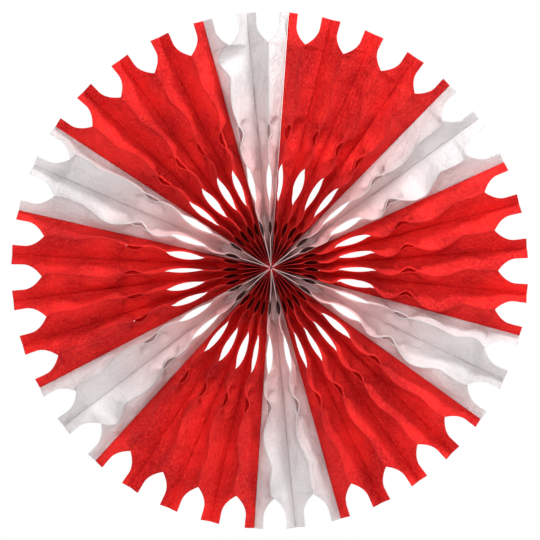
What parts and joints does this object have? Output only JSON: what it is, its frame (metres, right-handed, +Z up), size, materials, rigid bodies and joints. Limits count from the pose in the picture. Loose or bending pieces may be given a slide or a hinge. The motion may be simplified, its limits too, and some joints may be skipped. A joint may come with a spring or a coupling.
{
  "type": "paper fan medallion",
  "caption": "Round hanging rosette of die-cut tissue leaves in red and white sectors, opened from a folded fan and closed on stiff cards.",
  "frame": {"origin": "on the hub's axis at mid depth, the centre of the box round the object", "axes": "+Z up as hung, +X to the right seen from the front, +Y from the scalloped front crests to the back"},
  "size_m": [0.635, 0.045, 0.635],
  "materials": {
    "red_tissue": "soft matt tissue",
    "white_tissue": "soft matt tissue",
    "closing_card_red": "matt",
    "closing_card_white": "matt",
    "hub_thread": "twisted thread"
  },
  "bodies": {
    "root": {"closing_card_red": "closing_card_red", "closing_card_white": "closing_card_white", "hub_thread": "hub_thread", "red_leaf_pair_01": "red_tissue", "red_leaf_pair_02": "red_tissue", "red_leaf_pair_03": "red_tissue", "red_leaf_pair_04": "red_tissue", "red_leaf_pair_05": "red_tissue", "red_leaf_pair_06": "red_tissue", "red_leaf_pair_07": "red_tissue", "red_leaf_pair_08": "red_tissue", "red_leaf_pair_09": "red_tissue", "red_leaf_pair_10": "red_tissue", "red_leaf_pair_11": "red_tissue", "red_leaf_pair_12": "red_tissue", "red_leaf_pair_13": "red_tissue", "red_leaf_pair_14": "red_tissue", "red_leaf_pair_15": "red_tissue", "red_leaf_pair_16": "red_tissue", "red_leaf_pair_17": "red_tissue", "red_leaf_pair_18": "red_tissue", "red_leaf_pair_19": "red_tissue", "red_leaf_pair_20": "red_tissue", "red_leaf_pair_21": "red_tissue", "red_leaf_pair_22": "red_tissue", "red_leaf_pair_23": "red_tissue", "red_leaf_pair_24": "red_tissue", "white_leaf_pair_01": "white_tissue", "white_leaf_pair_02": "white_tissue", "white_leaf_pair_03": "white_tissue", "white_leaf_pair_04": "white_tissue", "white_leaf_pair_05": "white_tissue", "white_leaf_pair_06": "white_tissue", "white_leaf_pair_07": "white_tissue", "white_leaf_pair_08": "white_tissue", "white_leaf_pair_09": "white_tissue", "white_leaf_pair_10": "white_tissue", "white_leaf_pair_11": "white_tissue", "white_leaf_pair_12": "white_tissue"}
  },
  "joints": []
}
